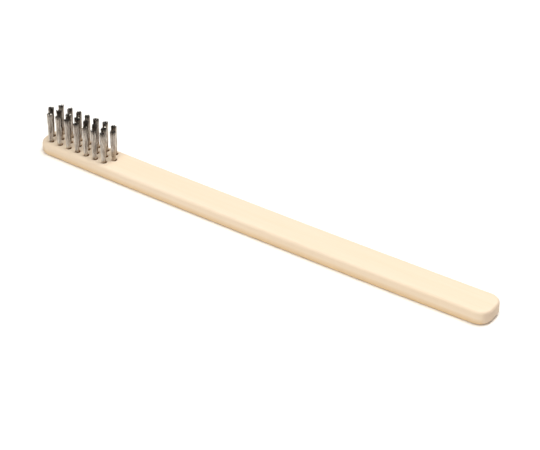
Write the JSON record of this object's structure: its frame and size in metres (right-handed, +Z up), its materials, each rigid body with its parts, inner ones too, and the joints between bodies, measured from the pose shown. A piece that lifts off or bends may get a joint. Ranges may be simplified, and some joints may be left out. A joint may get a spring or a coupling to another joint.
{
  "type": "wire brush",
  "caption": "Small toothbrush-shaped wire scratch brush: a flat wooden stick with rounded ends, and staggered rows of upright steel wire tufts at one end.",
  "frame": {"origin": "middle of the footprint, on the flat underside of the handle that the brush lies on", "axes": "+X along the handle from the brush head to the grip end, +Y to the rear, +Z up, the way the bristles point"},
  "size_m": [0.1976, 0.0136, 0.0179],
  "materials": {
    "wood": "smooth sanded bare wood, fine straight grain along the handle",
    "bristle_steel": "drawn steel wire, satin, darker at the sheared tips",
    "anchor_steel": "flat steel strip, satin"
  },
  "bodies": {
    "root": {"handle": "wood", "tuft_front_1": "bristle_steel", "tuft_front_2": "bristle_steel", "tuft_front_3": "bristle_steel", "tuft_front_4": "bristle_steel", "tuft_front_5": "bristle_steel", "tuft_front_6": "bristle_steel", "tuft_front_7": "bristle_steel", "tuft_middle_1": "bristle_steel", "tuft_middle_2": "bristle_steel", "tuft_middle_3": "bristle_steel", "tuft_middle_4": "bristle_steel", "tuft_middle_5": "bristle_steel", "tuft_middle_6": "bristle_steel", "tuft_middle_7": "bristle_steel", "tuft_middle_8": "bristle_steel", "tuft_rear_1": "bristle_steel", "tuft_rear_2": "bristle_steel", "tuft_rear_3": "bristle_steel", "tuft_rear_4": "bristle_steel", "tuft_rear_5": "bristle_steel", "tuft_rear_6": "bristle_steel", "tuft_rear_7": "bristle_steel", "anchor_front_1": "anchor_steel", "anchor_front_2": "anchor_steel", "anchor_front_3": "anchor_steel", "anchor_front_4": "anchor_steel", "anchor_front_5": "anchor_steel", "anchor_front_6": "anchor_steel", "anchor_front_7": "anchor_steel", "anchor_middle_1": "anchor_steel", "anchor_middle_2": "anchor_steel", "anchor_middle_3": "anchor_steel", "anchor_middle_4": "anchor_steel", "anchor_middle_5": "anchor_steel", "anchor_middle_6": "anchor_steel", "anchor_middle_7": "anchor_steel", "anchor_middle_8": "anchor_steel", "anchor_rear_1": "anchor_steel", "anchor_rear_2": "anchor_steel", "anchor_rear_3": "anchor_steel", "anchor_rear_4": "anchor_steel", "anchor_rear_5": "anchor_steel", "anchor_rear_6": "anchor_steel", "anchor_rear_7": "anchor_steel"}
  },
  "joints": []
}
